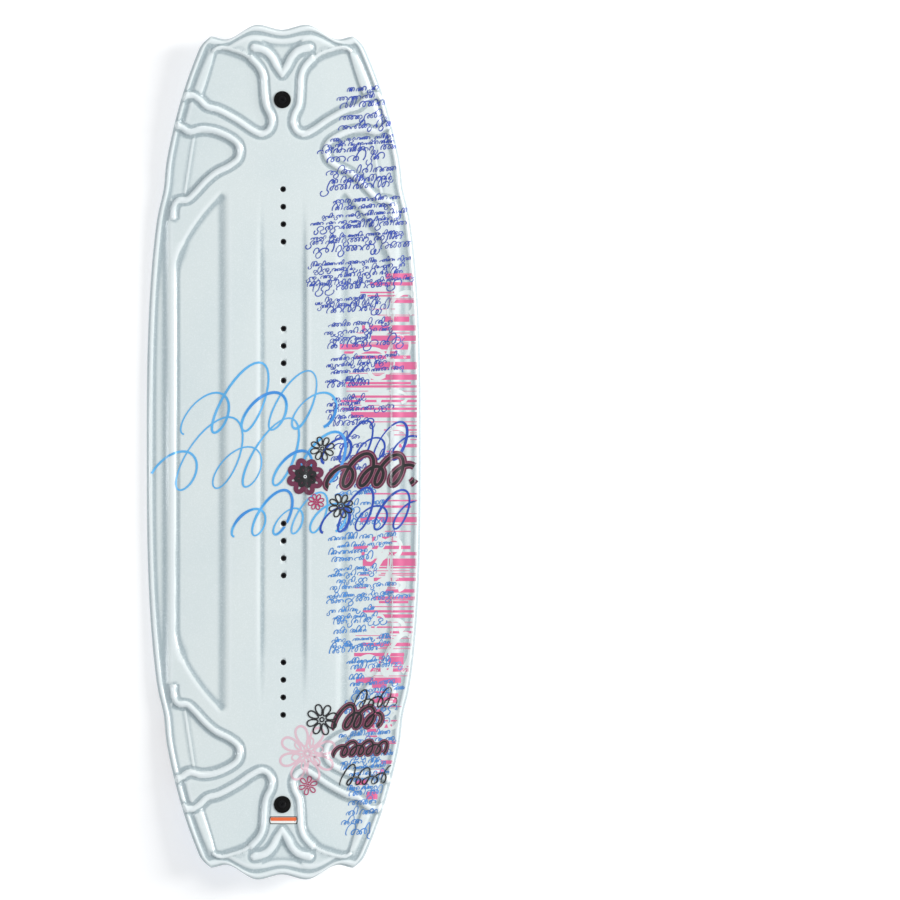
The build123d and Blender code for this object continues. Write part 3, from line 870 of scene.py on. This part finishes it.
def rim_strokes(zones, seed):
    """Level bars of many heights, one under the other, that run out to the right rail."""
    rng = random.Random(seed)
    strokes = []
    for top, bottom, left, gap in zones:
        y = top
        while y > bottom:
            tall = rng.choice((1.0, 1.4, 2.2, 3.4, 5.0, 8.0, 11.0))
            y -= tall / 2
            right = float(half_width(y)) - rng.choice((5, 5, 5, 14, 34))
            start = min(left + rng.uniform(-8, 50), right - 16)
            points = np.column_stack([np.linspace(start, right, 12), np.full(12, y)])
            strokes.append((points, tall, False))
            y -= tall / 2 + rng.uniform(0.5, gap)
    return strokes


BOLD_BLOSSOM = (32, -36)   # centre of the bold blossom beside the middle band
PINK_ZONES = ((262, 190, 112, 9), (186, 120, 90, 5), (116, 44, 82, 6), (40, -14, 140, 7), (-60, -120, 118, 9),
              (-124, -330, 108, 6), (-334, -430, 126, 8), (-450, -500, 140, 12))


def clearing_swirls():
    """Broad swirls in the board's own colour that break up the pink bars."""
    rng = random.Random(5)
    strokes = []
    for y in (214, 150, 84, 20, -140, -190, -250, -310, -390):
        points = scrawl((100 + rng.uniform(-8, 18), y - 18), 30, 3, rng)
        strokes.append(pen(points, rng.uniform(4.5, 7.5), rng.random(), 0.5))
    return clipped(strokes, 5)


BIG_LINES = (
    ((-146, 26), ((44, 60), (46, 102), (38, 56), (36, 86), (38, 52)), 90),
    ((-192, -58), ((40, 58), (54, 106), (42, 60), (44, 100), (36, 50), (40, 76)), 93),
    ((-72, -124), ((30, 40), (30, 66), (26, 38), (30, 60), (30, 42)), 96),
)
DEEP_LINES = (
    ((60, -16), ((24, 36), (26, 60), (24, 34), (28, 56), (26, 34)), 110),
    ((58, -118), ((24, 36), (28, 64), (26, 36), (28, 58), (26, 40)), 111),
)
THIN_LINES = (
    ((104, -374), ((10, 26), (13, 12), (12, 15), (10, 28), (12, 13)), 137),
    ((84, -486), ((12, 30), (12, 12), (11, 24), (13, 12), (12, 15), (9, 26)), 139),
)
BAND_LINES = (
    (((66, -52), ((24, 30), (24, 48), (22, 28), (24, 44), (24, 28)), 131), (11.5, 6.4, 4.6)),
    (((76, -404), ((16, 34), (14, 22), (16, 30), (14, 20)), 133), (8.5, 4.8, 3.4)),
    (((76, -444), ((12, 14), (12, 20), (12, 14), (12, 20), (12, 14), (10, 18)), 135), (7.0, 4.0, 2.8)),
)


def big_strokes(lines, width):
    """Large loops that stay on the board."""
    return clipped([pen(flourish(start, loops, seed), width, seed, 0.45) for start, loops, seed in lines], 5)


def thick_parts(strokes):
    """The stretches of some strokes where the pen was pressed hardest, as strokes of their own."""
    parts = []
    for points, widths, _ in strokes:
        heavy = np.where(widths > np.mean(widths) * 1.22)[0]
        for run in np.split(heavy, np.where(np.diff(heavy) > 1)[0] + 1):
            if len(run) > 4:
                taper = np.sin(np.linspace(0.2, math.pi - 0.2, len(run)))
                parts.append((points[run], widths[run] * taper, False))
    return parts


RIBBON = ((-176, -304), (-182, -338), (-150, -352), (-104, -322), (-74, -262), (-62, -222), (-96, -232),
          (-108, -272), (-84, -296), (-46, -262), (-22, -222), (-2, -250), (-12, -296), (26, -290),
          (60, -246), (92, -262), (84, -330), (44, -340), (24, -290), (10, -200), (40, -140), (92, -96),
          (70, -40), (12, -34), (-42, -2), (-100, 24), (-92, 74), (-36, 84), (20, 44), (66, 10), (96, 50),
          (70, 110), (10, 104), (-30, 140), (-18, 196), (40, 208), (88, 176), (120, 214), (84, 262),
          (22, 250), (-14, 290), (22, 336), (84, 322), (130, 292), (154, 290), (148, 336), (104, 396),
          (128, 452), (172, 468), (190, 474))
SWIRLS = (
    ((-110, 300), ((60, 130), (50, 90), (60, 120)), 150, -1.1),
    ((-60, 130), ((60, 110), (50, 150), (56, 90)), 152, -1.2),
    ((-150, 60), ((50, 90), (60, 70), (50, 100)), 153, -1.5),
    ((-60, -90), ((60, 100), (56, 80), (60, 110)), 155, -1.3),
    ((-80, -280), ((50, 100), (60, 70), (50, 80)), 157, -1.4),
    ((-130, -440), ((46, 56), (50, 60), (40, 50)), 158, -1.5),
    ((-60, 470), ((44, 90), (40, 80), (44, 90)), 159, -1.3),
    ((60, -20), ((40, 70), (50, 60)), 161, -1.2),
)


def blue_swirls():
    """Broad blue swirls behind the ribbon, in deck coordinates."""
    strokes = []
    for start, loops, seed, turn in SWIRLS:
        line = flourish((0, 0), loops, seed, 0.3, 0.0)
        x = start[0] + line[:, 0] * math.cos(turn) - line[:, 1] * math.sin(turn)
        y = start[1] + line[:, 0] * math.sin(turn) + line[:, 1] * math.cos(turn)
        strokes.append(pen(np.column_stack([x, y]), 17.0, seed, 0.4))
    return clipped(strokes, 4)


# ---------------------------------------------------------------- settings

def colour_setting(name, description, default):
    """Colour property with its default in linear light."""
    return bpy.props.FloatVectorProperty(name=name, description=description, subtype="COLOR", size=3,
                                         default=default)


class WakeboardPrint(bpy.types.PropertyGroup):
    """Colours of the mouldings and inks."""
    pearl: colour_setting("Pearl", "Light tone of the moulded deck", (0.70, 0.765, 0.76))
    pearl_deep: colour_setting("Pearl shade", "Deeper tone that drifts through the deck", (0.64, 0.72, 0.73))
    base: colour_setting("Base", "Light tone of the base", (0.71, 0.78, 0.84))
    base_deep: colour_setting("Base shade", "Deeper tone of the base", (0.56, 0.65, 0.74))
    line_blue: colour_setting("Line blue", "Fine blue line work", (0.035, 0.075, 0.42))
    light_blue: colour_setting("Light blue", "Large sweeping lines", (0.10, 0.43, 0.80))
    pink: colour_setting("Pink", "Pink bars and swirls", (0.72, 0.14, 0.31))
    plum: colour_setting("Plum", "Bold squiggles and blossoms", (0.14, 0.022, 0.06))


class WakeboardSizes(bpy.types.PropertyGroup):
    """Sizes that a user would change."""
    ink_lift: bpy.props.FloatProperty(
        name="Ink height", description="Height of the first ink layer over the skin, in millimetres",
        default=0.12, min=0.05, max=0.5)
    camera_height: bpy.props.FloatProperty(
        name="Camera height", description="Height of the camera over the floor", default=4.415,
        unit="LENGTH", subtype="DISTANCE")
    insert_hole: bpy.props.FloatProperty(
        name="Insert hole", description="Radius of the hole in the deck at each insert", default=0.00425,
        unit="LENGTH", subtype="DISTANCE")


def deck_inks(c):
    """Tone and deeper tone of every ink on the deck."""
    return {
        "pink": (tuple(c.pink), (0.55, 0.09, 0.24)),
        "fine blue": (tuple(c.line_blue), (0.09, 0.16, 0.5)),
        "light blue": (tuple(c.light_blue), (0.30, 0.58, 0.86)),
        "deep blue": ((0.02, 0.07, 0.42), (0.05, 0.14, 0.55)),
        "black": ((0.012, 0.011, 0.013), (0.03, 0.028, 0.032)),
        "plum": (tuple(c.plum), (0.22, 0.05, 0.11)),
        "white": ((0.80, 0.83, 0.85), (0.72, 0.76, 0.79)),
        "pearl": (tuple(c.pearl), tuple(c.pearl_deep)),
        "sky line": ((0.055, 0.235, 0.62), (0.11, 0.33, 0.70)),
        "strong blue": ((0.05, 0.27, 0.70), (0.09, 0.34, 0.76)),
        "rose": ((0.30, 0.12, 0.17), (0.24, 0.09, 0.13)),
        "faint pink": ((0.72, 0.50, 0.57), (0.66, 0.56, 0.61)),
        "crimson": ((0.45, 0.03, 0.13), (0.36, 0.02, 0.10)),
    }


def colours():
    """The print settings."""
    return bpy.context.scene.wakeboard_print


def sizes():
    """The size settings."""
    return bpy.context.scene.wakeboard_sizes


def paint(names, material):
    """Give CAD nodes a material."""
    for name in names:
        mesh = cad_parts[name].data
        mesh.materials.clear()
        mesh.materials.append(material)


# ---------------------------------------------------------------- operators

CAMERA_OVER = (0.244, 0.003)               # place on the floor that the camera looks straight down on
FLOOR_REACH = 8.0
METAL = {"metallic": 1.0, "grain": 2600.0}
FILM_CELL = 2.5            # grid of the sticker films, in millimetres
BORDER = 1.2               # sticker border left round the film
BAND_SIDE, BAND_BORDER = 1.6, 1.4          # what is left beside the band and beyond it


def film(name, side, centre, size, radius, material, lift):
    """Rounded film as a fine grid, laid on a surface."""
    wide, tall = size
    nx, ny = max(4, int(wide / FILM_CELL)), max(4, int(tall / FILM_CELL))
    verts, faces = [], []
    for j in range(ny + 1):
        v = tall * (j / ny - 0.5)
        past = max(0.0, abs(v) - (tall / 2 - radius))
        half = wide / 2 - radius + math.sqrt(max(0.0, radius ** 2 - past ** 2))
        for i in range(nx + 1):
            verts.append(((centre[0] + half * (2 * i / nx - 1)) * MM, (centre[1] + v) * MM, FLOATING))
    for j in range(ny):
        for i in range(nx):
            a = j * (nx + 1) + i
            faces.append([a, a + 1, a + nx + 2, a + nx + 1])
    flat = new_piece(name + "_flat", verts, faces, material)
    piece = laid(name, flat, bpy.data.node_groups["Sticker film"], side, material, lift)
    return finish(piece, "sticker")


class WAKEBOARD_OT_deck_skin(bpy.types.Operator):
    """Build the moulded deck skin with its insert holes"""
    bl_idname = "wakeboard.deck_skin"
    bl_label = "Deck skin"

    def execute(self, context):
        c = colours()
        # (0.30, 0.385, 0.42) is painted shade for the grooves and steep walls; (0.88, 0.93, 0.95) tints the
        # flakes and is the painted highlight on the crests
        material = pearl_material("pearl deck", tuple(c.pearl), tuple(c.pearl_deep), (0.30, 0.385, 0.42),
                                  (0.88, 0.93, 0.95))
        piece = build_skin("deck_skin", "deck", material)
        places = []
        for row in ROWS:
            low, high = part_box("inserts_" + row)
            first = low.y + (high.x - low.x) / 2
            last = high.y - (high.x - low.x) / 2
            places += [(0.0, first + (last - first) * i / 3, high.z) for i in range(4)]
        cut_round(piece, places, sizes().insert_hole, 0.04)
        finish(piece, "deck", "deck_sheet")
        return {"FINISHED"}


class WAKEBOARD_OT_base_skin(bpy.types.Operator):
    """Build the moulded base skin with its channels"""
    bl_idname = "wakeboard.base_skin"
    bl_label = "Base skin"

    def execute(self, context):
        c = colours()
        # (0.42, 0.50, 0.60) is painted shade for the grooves and steep walls; (0.92, 0.95, 0.97) tints the
        # flakes and is the painted highlight on the crests
        material = pearl_material("pearl base", tuple(c.base), tuple(c.base_deep), (0.42, 0.50, 0.60),
                                  (0.92, 0.95, 0.97), 5.0, 0.45)
        finish(build_skin("base_skin", "base", material), "base", "base_sheet")
        return {"FINISHED"}


class WAKEBOARD_OT_rail(bpy.types.Operator):
    """Build the moulded rail between the skins"""
    bl_idname = "wakeboard.rail"
    bl_label = "Rail"

    def execute(self, context):
        material = moulded_material("white rail", (0.56, 0.60, 0.63), (0.48, 0.52, 0.56), 0.3, strength=0.1)
        finish(build_rail("rail_band", material), "rail", "edge_rail")
        return {"FINISHED"}


class WAKEBOARD_OT_deck_print(bpy.types.Operator):
    """Lay the line art on the deck"""
    bl_idname = "wakeboard.deck_print"
    bl_label = "Deck print"

    def execute(self, context):
        lift = sizes().ink_lift
        inks = {name: ink_material(name + " ink", *pair) for name, pair in deck_inks(colours()).items()}
        wide = big_strokes(BIG_LINES, 3.3)
        faint = (((36, -440), 42, 8, 3.4), ((36, -440), 24, 6, 2.4))
        layers = [
            ("faint_blossom", blossom_strokes(faint), "faint pink", 0.02, 1.6, 3),
            ("pink_bars", rim_strokes(PINK_ZONES, 19), "pink", 0.0, 2.0, 3),
            ("clearing", clearing_swirls(), "pearl", 0.02, 2.0, 4),
            ("fine_lines", scribble_rows(522, -60, 7), "fine blue", 0.17, 1.1, 2),
            ("tail_lines", scribble_rows(-66, -572, 9), "sky line", 0.17, 1.1, 2),
            ("wide_lines", wide, "light blue", 0.20, 1.6, 3),
            ("wide_pressed", thick_parts(wide), "strong blue", 0.32, 1.6, 3),
            ("deep_lines", big_strokes(DEEP_LINES, 3.2), "deep blue", 0.26, 1.6, 3),
        ]
        bands = [(flourish(*line), widths) for line, widths in BAND_LINES]
        for layer, (part, shade) in enumerate((("edge", "plum"), ("trim", "rose"), ("core", "black"))):
            strokes = clipped([(band, widths[layer], False) for band, widths in bands], 8)
            layers.append(("band_" + part, strokes, shade, 0.30 + 0.14 * layer, 1.5, 6))
        outlines = (((57, 5), 18, 8, 1.7), ((84, -79), 18, 8, 1.9), ((57, -391), 23, 8, 2.0))
        small = (((48, -73), 12, 8, 1.5), ((37, -486), 14, 6, 1.5))
        middle = [(loop, 1.6, True) for loop in petals(BOLD_BLOSSOM, 14, 1)[-1:]]
        layers += [
            ("black_lines", big_strokes(THIN_LINES, 1.7) + blossom_strokes(outlines), "black", 0.72, 1.2, 2),
            ("pink_blossom", blossom_strokes(small), "crimson", 0.72, 1.2, 2),
            ("plum_blossom", blossom_strokes(((BOLD_BLOSSOM, 25, 8, 7.0),)), "plum", 0.76, 1.4, 4),
            ("blossom_core", blossom_strokes(((BOLD_BLOSSOM, 15, 8, 5.0),)), "black", 0.88, 1.4, 3),
            ("blossom_middle", middle, "white", 1.0, 0.8, 2),
        ]
        for part, strokes, shade, height, step, across in layers:
            ink("deck_" + part, "deck", strokes, inks[shade], lift + height, step, across)
        return {"FINISHED"}


class WAKEBOARD_OT_base_print(bpy.types.Operator):
    """Lay the bold ribbon, the swirls and the blossoms on the base"""
    bl_idname = "wakeboard.base_print"
    bl_label = "Base print"

    def execute(self, context):
        lift = sizes().ink_lift
        blue = ink_material("sky ink", (0.055, 0.30, 0.66), (0.09, 0.38, 0.74), 0.5)
        black, white, plum = (bpy.data.materials[name + " ink"] for name in ("black", "white", "plum"))
        ribbon = clipped([(curve_through(RIBBON, 10), 1.0, False)], 12)[0][0]
        outlines = (((-16, 551), 16, 8, 3.0), ((66, 370), 34, 8, 3.6), ((-18, -378), 40, 8, 3.6),
                    ((-160, -350), 24, 8, 3.0))
        bold = (((-33, 503), 31, 8, 8.0), ((-112, -428), 66, 8, 14.0))
        inner = (((-33, 503), 31, 8, 2.4), ((-112, -428), 66, 8, 4.4))
        layers = (
            ("swirls", blue_swirls(), blue, 0.0, 2.6, 6),
            ("ribbon_edge", [(ribbon, 31.0, False)], black, 0.2, 2.6, 12),
            ("ribbon", [(ribbon, 14.0, False)], white, 0.32, 2.6, 7),
            ("blossoms", blossom_strokes(outlines), black, 0.46, 1.6, 3),
            ("blue_blossom", blossom_strokes((((-63, 536), 17, 8, 2.6),)), blue, 0.46, 1.6, 3),
            ("bold_blossoms", blossom_strokes(bold), plum, 0.5, 2.0, 6),
            ("blossom_lines", blossom_strokes(inner), black, 0.62, 2.0, 3),
        )
        for part, strokes, shade, height, step, across in layers:
            ink("base_" + part, "base", strokes, shade, lift + height, step, across)
        return {"FINISHED"}


class WAKEBOARD_OT_stickers(bpy.types.Operator):
    """Lay the two blank stickers and their coloured bands"""
    bl_idname = "wakeboard.stickers"
    bl_label = "Stickers"

    def execute(self, context):
        lift = sizes().ink_lift
        paper = moulded_material("sticker film", (0.86, 0.86, 0.83), (0.78, 0.78, 0.75), 0.35, strength=0.05)
        band = moulded_material("sticker band", (0.80, 0.16, 0.05), (0.70, 0.12, 0.04), 0.35, strength=0.05)
        border = moulded_material("sticker border", (0.03, 0.03, 0.03), (0.06, 0.06, 0.06), 0.4,
                                  strength=0.05)
        for side in ("base", "deck"):
            low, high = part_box(side + "_sticker")
            centre = ((low.x + high.x) / 2 / MM, (low.y + high.y) / 2 / MM)
            wide, tall = (high.x - low.x) / MM, (high.y - low.y) / MM
            corner = min(6.0, tall * 0.12)
            base = lift + (0.5 if side == "base" else 0.1)
            film(side + "_sticker_border", side, centre, (wide, tall), corner, border, base)
            inner = (wide - 2 * BORDER, tall - 2 * BORDER)
            piece = film(side + "_sticker_film", side, centre, inner, corner * 0.8, paper, base + 0.1)
            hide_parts(side + "_sticker")
            band_tall = tall * (0.18 if side == "base" else 0.45)
            raised = (centre[0], centre[1] + tall / 2 - BAND_BORDER - band_tall / 2)
            stripe = (wide - 2 * BAND_SIDE, band_tall)
            film(side + "_sticker_band", side, raised, stripe, corner * 0.6, band, base + 0.2)
        return {"FINISHED"}


class WAKEBOARD_OT_hardware(bpy.types.Operator):
    """Finish the fins, washers, screws, inserts, bushes and sleeves"""
    bl_idname = "wakeboard.hardware"
    bl_label = "Hardware"

    def execute(self, context):
        finishes = (
            ("fin_", "black moulding", (0.010, 0.010, 0.011), (0.024, 0.024, 0.026), 0.34, {}),
            ("fin_washer_", "washer moulding", (0.004, 0.004, 0.004), (0.009, 0.009, 0.009), 0.3,
             {"shine": 0.2}),
            ("fin_screw_", "blackened steel", (0.006, 0.006, 0.007), (0.02, 0.02, 0.022), 0.4,
             {"metallic": 0.3, "grain": 2600.0, "shine": 0.25}),
            ("fin_nut_", "brass", (0.60, 0.40, 0.14), (0.46, 0.29, 0.10), 0.35, METAL),
            ("fin_sleeve_", "drawn tube", (0.66, 0.67, 0.69), (0.55, 0.56, 0.58), 0.36, METAL),
        )
        for node, name, colour, worn, roughness, extra in finishes:
            paint([node + end for end in ENDS], moulded_material(name, colour, worn, roughness, **extra))
        insert = moulded_material("insert", (0.035, 0.035, 0.038), (0.10, 0.10, 0.11), 0.42, 0.6, 2600.0)
        paint(["inserts_" + row for row in ROWS], insert)
        return {"FINISHED"}


class WAKEBOARD_OT_core(bpy.types.Operator):
    """Finish the layers inside the board"""
    bl_idname = "wakeboard.core"
    bl_label = "Inner layers"

    def execute(self, context):
        foam = moulded_material("foam", (0.74, 0.66, 0.42), (0.62, 0.54, 0.34), 0.8, grain=700.0,
                                strength=0.6)
        glass = moulded_material("glass laminate", (0.50, 0.56, 0.46), (0.40, 0.46, 0.38), 0.3, grain=900.0)
        board = moulded_material("strip board", (0.30, 0.20, 0.11), (0.22, 0.14, 0.07), 0.7, grain=500.0)
        paint(["core"], foam)
        paint(["deck_laminate", "base_laminate"], glass)
        paint(["strip_" + row for row in ROWS], board)
        return {"FINISHED"}


class WAKEBOARD_OT_stage(bpy.types.Operator):
    """Add the pale floor, the soft lights and the camera"""
    bl_idname = "wakeboard.stage"
    bl_label = "Stage"

    def execute(self, context):
        scene = context.scene
        floor_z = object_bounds()[0].z
        reach = FLOOR_REACH
        material, tree, shader = blank_material("pale floor", Roughness=0.9,
                                                Emission_Color=(1.0, 1.0, 1.0, 1.0), Emission_Strength=0.45)
        where = tree.nodes.new("ShaderNodeTexCoord").outputs["Object"]
        tone = noise(tree, where, 1.5, 2.0)
        tree.links.new(mixed(tree, tone.outputs["Fac"], (0.66, 0.66, 0.66), (0.70, 0.70, 0.70)),
                       shader.inputs["Base Color"])
        corners = [(-reach, -reach, floor_z), (reach, -reach, floor_z), (reach, reach, floor_z),
                   (-reach, reach, floor_z)]
        new_piece("floor", corners, [[0, 1, 2, 3]], material, False)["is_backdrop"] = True
        lights = (("key", (3.0, 0.7, 2.0), (1.0, 2.6), 140.0, (1.0, 0.99, 0.97)),
                  ("left_strip", (-2.8, 0.0, 1.7), (0.3, 2.8), 26.0, (0.93, 0.97, 1.0)),
                  ("nose_strip", (0.2, 2.9, 1.7), (0.3, 2.4), 16.0, (1.0, 1.0, 1.0)),
                  ("tail_strip", (0.2, -2.9, 1.5), (0.3, 2.4), 12.0, (0.95, 0.98, 1.0)))
        for name, at, size, power, colour in lights:
            data = bpy.data.lights.new(name, "AREA")
            data.shape, data.energy, data.color = "RECTANGLE", power, colour
            data.size, data.size_y = size
            lamp = bpy.data.objects.new(name, data)
            lamp.location = at
            lamp.rotation_euler = (-Vector(at)).to_track_quat("-Z", "Y" if abs(at[0]) > 1 else "X").to_euler()
            scene.collection.objects.link(lamp)
        world = bpy.data.worlds.new("studio")
        world.use_nodes = True
        world.node_tree.nodes["Background"].inputs["Color"].default_value = (0.92, 0.95, 1.0, 1.0)
        world.node_tree.nodes["Background"].inputs["Strength"].default_value = 0.36
        scene.world = world
        lens = bpy.data.cameras.new("camera")
        lens.lens, lens.sensor_width = 120.0, 36.0
        lens.clip_end = 50.0
        camera = bpy.data.objects.new("camera", lens)
        camera.location = (*CAMERA_OVER, sizes().camera_height)
        scene.collection.objects.link(camera)
        scene.camera = camera
        scene.view_settings.view_transform = "Standard"
        return {"FINISHED"}


class WAKEBOARD_PT_panel(bpy.types.Panel):
    """Sidebar panel with the board's builders"""
    bl_idname = "WAKEBOARD_PT_panel"
    bl_label = "Wakeboard"
    bl_space_type = "VIEW_3D"
    bl_region_type = "UI"
    bl_category = "Wakeboard"

    def draw(self, context):
        for operator in OPERATORS:
            self.layout.operator(operator.bl_idname)
        for settings in (context.scene.wakeboard_print, context.scene.wakeboard_sizes):
            for name in settings.__annotations__:
                self.layout.prop(settings, name)


OPERATORS = (
    WAKEBOARD_OT_deck_skin,
    WAKEBOARD_OT_base_skin,
    WAKEBOARD_OT_rail,
    WAKEBOARD_OT_deck_print,
    WAKEBOARD_OT_base_print,
    WAKEBOARD_OT_stickers,
    WAKEBOARD_OT_hardware,
    WAKEBOARD_OT_core,
    WAKEBOARD_OT_stage,
)
CLASSES = (WakeboardPrint, WakeboardSizes, *OPERATORS, WAKEBOARD_PT_panel)


def register():
    """Register the classes and their settings."""
    for item in CLASSES:
        bpy.utils.register_class(item)
    bpy.types.Scene.wakeboard_print = bpy.props.PointerProperty(type=WakeboardPrint)
    bpy.types.Scene.wakeboard_sizes = bpy.props.PointerProperty(type=WakeboardSizes)


def unregister():
    """Remove the settings and the classes."""
    del bpy.types.Scene.wakeboard_print
    del bpy.types.Scene.wakeboard_sizes
    for item in reversed(CLASSES):
        bpy.utils.unregister_class(item)


def main():
    """Build the board."""
    register()
    pearl_group()
    moulding_group()
    stroke_tree()
    film_tree()
    for operator in OPERATORS:
        group, name = operator.bl_idname.split(".")
        getattr(getattr(bpy.ops, group), name)()


if __name__ == "__main__":
    main()
